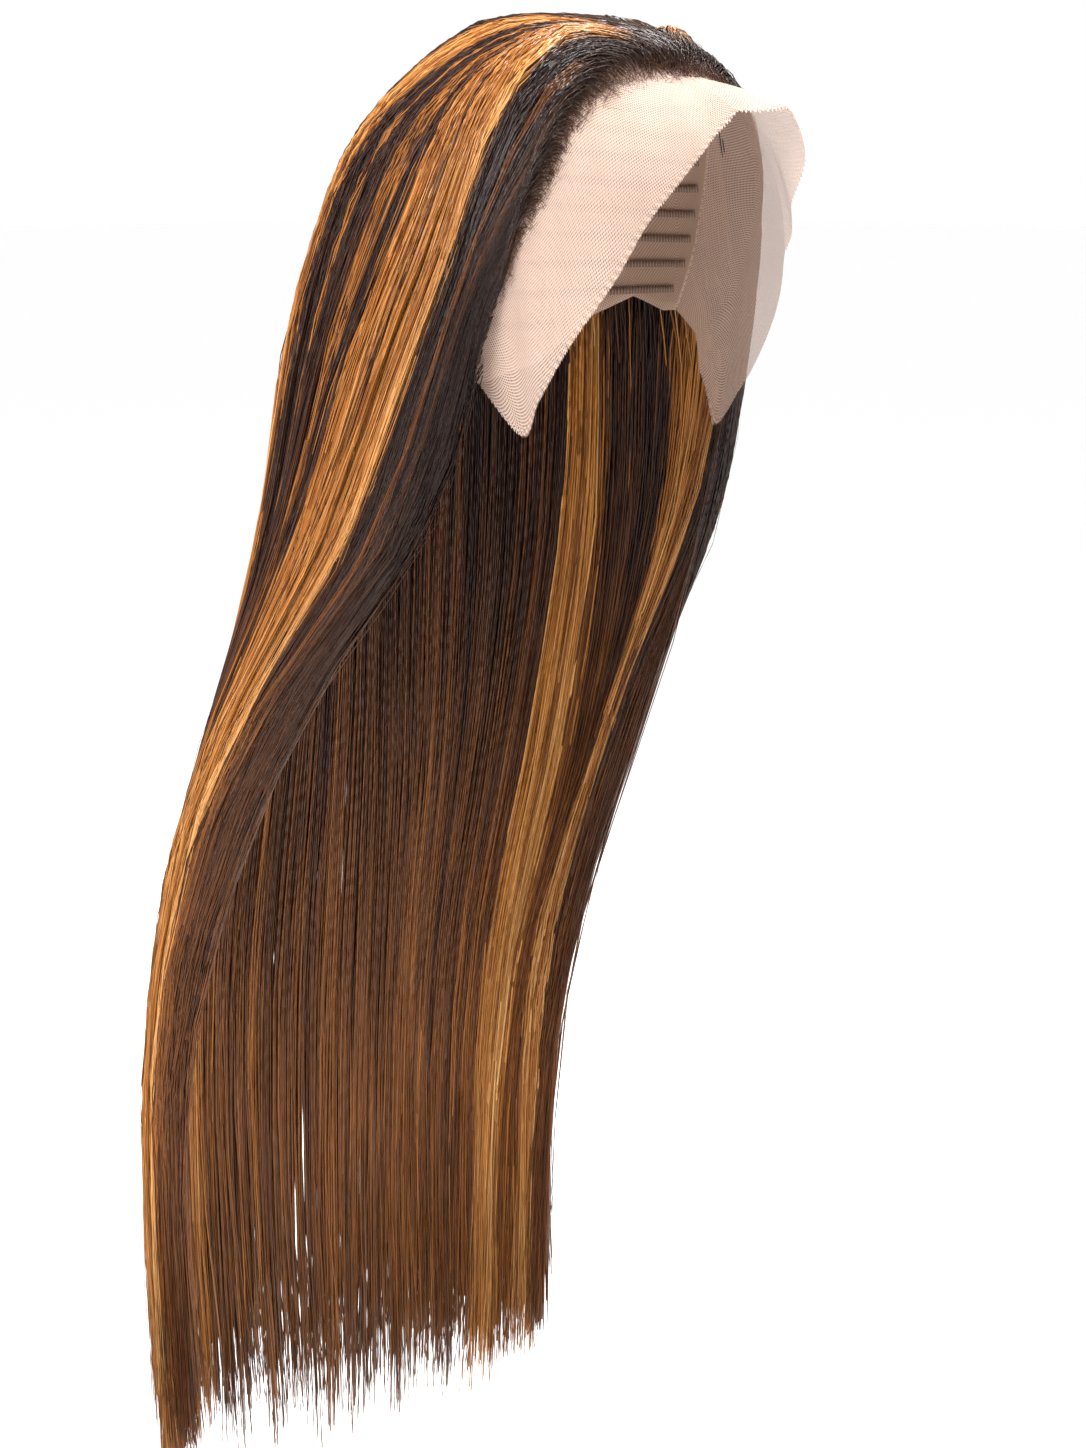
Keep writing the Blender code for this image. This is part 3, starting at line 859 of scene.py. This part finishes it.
def over_the_crown(root, inland, joint, beyond, layer, u):
    """Curve from each root, first inland over the head and then into the fall at its joint."""
    chord = np.linalg.norm(joint - root, axis=-1)[:, None]
    leave = unit(inland * LEAVE_INLAND + unit(joint - root) * LEAVE_TOWARDS) * chord * 0.85
    arrive = unit(beyond - joint) * chord * 0.9
    curve = (
        (2 * u ** 3 - 3 * u ** 2 + 1) * root[:, None]
        + (u ** 3 - 2 * u ** 2 + u) * leave[:, None]
        + (3 * u ** 2 - 2 * u ** 3) * joint[:, None]
        + (u ** 3 - u ** 2) * arrive[:, None]
    )
    edge_level = 1.0 + EDGE_LIFT * (1.0 - 0.75 * layer) / HEAD_RADIUS
    wanted = edge_level[:, None] * (1.0 - u[..., 0]) + head_level(joint)[:, None] * u[..., 0]
    return HEAD_CENTRE + (curve - HEAD_CENTRE) * (wanted / head_level(curve))[..., None]


def risen_from_scalp(points, along, start, from_front, chord):
    """The same strands, each leaving the scalp where it starts and rising to its own depth."""
    low = (1.0 + SCALP_LIFT / HEAD_RADIUS) / head_level(points)
    scalp = HEAD_CENTRE + (points - HEAD_CENTRE) * low[..., None]
    rise = np.where(from_front, RISE, BACK_RISE * RISE) / np.clip(chord, 30.0, None) * JOIN
    part = np.clip((along - start[:, None]) / rise[:, None], 0.0, 1.0)
    points = scalp + (points - scalp) * (1.0 - (1.0 - part) ** 2.5)[..., None]
    least = (1.0 + SCALP_LIFT / HEAD_RADIUS) / head_level(points)
    return HEAD_CENTRE + (points - HEAD_CENTRE) * np.maximum(1.0, least)[..., None]


def strand_paths(rng, side, first, last, count):
    """The strands of one lock: points, outward directions, half widths, shades, and along."""
    band, label, layer = spread_labels(rng, first, last, count)
    clump, centre, large_centre = clumps_of(side, band, label)
    clump_count = MOST_CLUMPS * len(LAYERS)
    clump_rng = np.random.default_rng(CLUMP_SEEDS[side])

    start = JOIN * rng.uniform(0.02, 1.0, count)
    from_front = rng.random(count) < np.where(label > FRONT_LABEL, *FROM_FRONT_SHARE)
    start = np.where(from_front, 0.0, start)
    start = np.where(band == 2, rng.uniform(*DEEP_START, count), start)
    end = clump_rng.uniform(*CLUMP_END, clump_count)[clump] - np.abs(rng.normal(0.0, SHORTER, count))
    end = np.maximum(end, SHORTEST)
    along = start[:, None] + (end - start)[:, None] * STRAND_STEPS[None, :]
    late = np.maximum(along, JOIN)

    gather = LAYERS[band, 4][:, None]
    strength = (clump_rng.uniform(*CLUMP_STRENGTH, clump_count)[clump] * LAYERS[band, 4])[:, None]
    tip = eased((late - 0.82) / 0.18)
    body_pull = SMALL_PULL[0] * eased((late - 0.06) / 0.3)
    small_pull = np.clip(strength * (body_pull + SMALL_PULL[1] * tip), 0.0, 0.9)
    large_pull = strength * (LARGE_PULL[0] * eased((late - 0.2) / 0.4) + LARGE_PULL[1] * tip)
    label_now = label[:, None] + (centre - label)[:, None] * small_pull
    label_now = label_now + (large_centre - centre)[:, None] * large_pull
    layer_now = layer[:, None] * (1.0 - 0.25 * small_pull)
    points, outward, across = hanging(label_now, layer_now, late, side)
    at_joint = np.full((count, 1), JOIN)
    joint = hanging(label_now[:, :1], layer_now[:, :1], at_joint, side)[0][:, 0]
    beyond = hanging(label_now[:, :1], layer_now[:, :1], at_joint + 0.02, side)[0][:, 0]

    phase = clump_rng.uniform(0.0, 2.0 * math.pi, (2, clump_count))[:, clump, None]
    clump_lift = clump_rng.normal(0.0, CLUMP_LIFT, clump_count)[clump][:, None]
    loose = eased((along - 0.12) / 0.25)
    front_edge = eased((label - 0.88) / 0.12) * rng.exponential(STRAY, count)
    bowed = eased((along - 0.09) / 0.2) * (1.0 - 0.5 * eased((along - 0.6) / 0.3))
    fray = np.clip((along - end[:, None] + FRAY_LENGTH) / FRAY_LENGTH, 0.0, 1.0) ** 2
    shared = SHARED_SWAY * np.sin(11.0 * along + 14.0 * label[:, None])
    sway = loose * (shared + gather * CLUMP_SWAY * np.sin(9.0 * along + phase[0]))
    sway = sway + loose * rng.normal(0.0, STRAND_SWAY, along.shape)
    stand = loose * gather * (clump_lift + CLUMP_WAVE * np.sin(13.0 * along + phase[1]))
    stand = stand + loose * rng.normal(0.0, STRAND_LIFT, along.shape)
    sway = sway + fray * rng.normal(0.0, FRAY_ACROSS, count)[:, None]
    sway = sway + side * front_edge[:, None] * bowed
    stand = stand + fray * rng.normal(0.0, FRAY_OUT, count)[:, None]
    points = points + across * sway[..., None] + outward * stand[..., None]
    points[..., 2] -= HEM_DROP * eased((along - 0.75) / 0.25)

    root, inland = strand_roots(rng, side, label)
    u = np.clip(along / JOIN, 0.0, 1.0)[..., None]
    curve = over_the_crown(root, inland, joint, beyond, layer, u)
    early = (along < JOIN)[..., None]
    points = np.where(early, curve, points)
    outward = np.where(early, unit(curve - HEAD_CENTRE), outward)
    chord = np.linalg.norm(joint - root, axis=-1)
    points = risen_from_scalp(points, along, start, from_front, chord)

    thickened = 0.55 + 0.45 * eased(STRAND_STEPS / 0.05)
    taper = thickened * (1.0 - 0.7 * eased((STRAND_STEPS - 0.88) / 0.12))
    half_width = (LAYERS[band, 3] * rng.uniform(0.75, 1.25, count))[:, None] * taper[None, :]
    return points, outward, half_width, shades(rng, label, clump), along


ROOT_COLOURS = (
    # how light the strand is, its colour near the root
    (0.00, (0.0090, 0.0042, 0.0033)),
    (0.20, (0.0320, 0.0132, 0.0092)),
    (0.42, (0.0850, 0.0310, 0.0130)),
    (0.62, (0.2150, 0.0690, 0.0150)),
    (0.82, (0.5100, 0.1830, 0.0300)),
    (1.00, (0.8000, 0.3900, 0.1200)),
)
TIP_COLOURS = (
    # how light the strand is, its colour near the tip
    (0.00, (0.0480, 0.0150, 0.0052)),
    (0.12, (0.1250, 0.0400, 0.0090)),
    (0.30, (0.2300, 0.0760, 0.0150)),
    (0.55, (0.3800, 0.1350, 0.0260)),
    (0.82, (0.5400, 0.2200, 0.0500)),
    (1.00, (0.7600, 0.4100, 0.1500)),
)
DIM_COLOURS = (
    # noise, what it multiplies the colour by
    (0.30, (0.50, 0.48, 0.46)),
    (0.70, (1.00, 1.00, 1.00)),
)
ROOT_SHADOW = (0.0400, 0.0180, 0.0115, 1.0)
CRIMP_RELIEF = 0.00045
hair_finish = Finish("hair_strand", Roughness=0.30, Specular_IOR_Level=0.26)
# On a strand's map, u is how light the strand is and v how far along the hair it has come.
hair_u, hair_v = hair_finish.uv()
fine = hair_finish.noise(hair_finish.point(hair_u * 260.0, hair_v * 9.0), 1.0)
root_end = (hair_v + (fine - 0.5) * 0.02).ramp(0.03, 0.085)
hair_root = hair_finish.colours(hair_u, ROOT_COLOURS)
hair_root = hair_finish.mix(root_end, ROOT_SHADOW, hair_root)
hair_tip = hair_finish.colours(hair_u, TIP_COLOURS)
lightened = (hair_v + (fine - 0.5) * 0.3).ramp(0.36, 0.92)
hair_colour = hair_finish.mix(lightened, hair_root, hair_tip)
dimmed = hair_finish.colours(fine, DIM_COLOURS)
hair_finish.set("Base Color", hair_finish.mix(1.0, hair_colour, dimmed, "MULTIPLY"))
crimp = (hair_v * 540.0 + hair_u * 32.0).cosine()
crimp = crimp * ((hair_v * 97.0 + hair_u * 71.0).cosine() * 0.5 + 0.7)
hair_finish.bump(crimp, CRIMP_RELIEF)

LOCKS = (
    # name, from_place, to_place, slot, strands on the right, strands on the left
    ("centre", 0.00, 0.14, "hair_dark", 620, 580),
    ("back", 0.14, 0.30, "hair_dark", 720, 600),
    ("back_band", 0.30, 0.43, "hair_caramel", 600, 440),
    ("crown", 0.43, 0.62, "hair_brown", 900, 520),
    ("band", 0.62, 0.78, "hair_caramel", 840, 420),
    ("temple", 0.78, 0.89, "hair_dark", 600, 360),
    ("front", 0.89, 1.00, "hair_dark", 580, 360),
)


def strand_object(name, data):
    data.materials.append(hair_finish.material)
    piece = bpy.data.objects.new(name, data)
    bpy.context.scene.collection.objects.link(piece)
    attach(piece, "root")
    return piece


for side_name, side in (("right", -1.0), ("left", 1.0)):
    for number, (lock_name, first, last, slot, on_right, on_left) in enumerate(LOCKS):
        rng = np.random.default_rng(100 * (number + 1) + int(side > 0))
        count = on_right if side < 0 else on_left
        name = f"strands_{side_name}_{lock_name}"
        data = strand_tubes(name, *strand_paths(rng, side, first, last, count))
        strands = strand_object(name, data)
        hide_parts(f"hair_{side_name}_{lock_name}")


# Hairline fringe: short fine hairs knotted one by one into the lace along the hairline, left
# curling loose in front of the swept-back hair.
FRINGE_COUNT = 1900
FRINGE_STEPS = np.linspace(0.0, 1.0, 6)
FRINGE_HALF_WIDTH = 0.11
FRINGE_ALONG = 0.93

rng = np.random.default_rng(7)
fringe_at = FRINGE_ALONG * (1.0 - rng.random(FRINGE_COUNT) ** 0.8)
fringe_at = fringe_at * rng.choice([-1.0, 1.0], FRINGE_COUNT)
angles = lace_angles(fringe_at)
forward = rng.normal(-1.5, 3.4, FRINGE_COUNT)
fringe_root = on_head(
    angles[:, 2], angles[:, 3] + np.degrees(forward / HEAD_RADIUS), np.full(FRINGE_COUNT, 0.9)
)
inland = unit(on_head(angles[:, 0], angles[:, 1], np.full(FRINGE_COUNT, 0.9)) - fringe_root)
fringe_out = unit(fringe_root - HEAD_CENTRE)
fringe_side = unit(np.cross(inland, fringe_out))
lean = rng.normal(0.0, 0.7, FRINGE_COUNT)[:, None]
heading = inland * np.cos(lean) + fringe_side * np.sin(lean)
bend = unit(np.cross(heading, fringe_out)) * rng.normal(0.0, 0.5, FRINGE_COUNT)[:, None]
length = rng.uniform(4.0, 13.0, FRINGE_COUNT)[:, None, None]
share = FRINGE_STEPS[None, :, None]
stand_up = rng.uniform(0.15, 0.55, FRINGE_COUNT)[:, None, None]
fringe_points = (
    fringe_root[:, None]
    + heading[:, None] * length * share
    + bend[:, None] * length * share ** 2
    + fringe_out[:, None] * (stand_up * length * share ** 0.7)
)
fringe_width = FRINGE_HALF_WIDTH * (1.0 - 0.8 * FRINGE_STEPS ** 2)
fringe_data = strand_tubes(
    "hairline_fringe",
    fringe_points,
    np.repeat(fringe_out[:, None], len(FRINGE_STEPS), 1),
    rng.uniform(0.7, 1.2, FRINGE_COUNT)[:, None] * fringe_width[None, :],
    rng.uniform(0.34, 0.50, FRINGE_COUNT),
    np.full((FRINGE_COUNT, len(FRINGE_STEPS)), 0.12),
)
strand_object("hairline_fringe", fringe_data)


# Flyaways: single long hairs that have come away from the locks and bow a little in the air.
# They are the same fibre as the locks, finer, and still fixed at their roots.
FLYAWAYS = 60
FLYAWAY_HALF_WIDTH = 0.12

rng = np.random.default_rng(11)
loose_hairs = []
for side in (-1.0, 1.0):
    points, outward, half_width, shade, along = strand_paths(rng, side, 0.45, 1.0, FLYAWAYS)
    start = rng.uniform(0.0, 0.6, FLYAWAYS)[:, None]
    span = rng.uniform(0.15, 0.5, FLYAWAYS)[:, None]
    bow = np.sin(math.pi * np.clip((along - start) / span, 0.0, 1.0))
    sideways = unit(np.cross(unit(np.gradient(points, axis=1)), outward))
    reach = rng.normal(0.0, 4.5, FLYAWAYS)[:, None]
    height = np.abs(rng.normal(0.0, 2.2, FLYAWAYS))[:, None]
    points = points + sideways * (reach * bow)[..., None] + outward * (height * bow)[..., None]
    half_width = half_width * (FLYAWAY_HALF_WIDTH / HALF_WIDTH)
    loose_hairs.append((points, outward, half_width, shade, along))
flyaway_data = strand_tubes("flyaway_hairs", *[np.concatenate(parts) for parts in zip(*loose_hairs)])
strand_object("flyaway_hairs", flyaway_data)
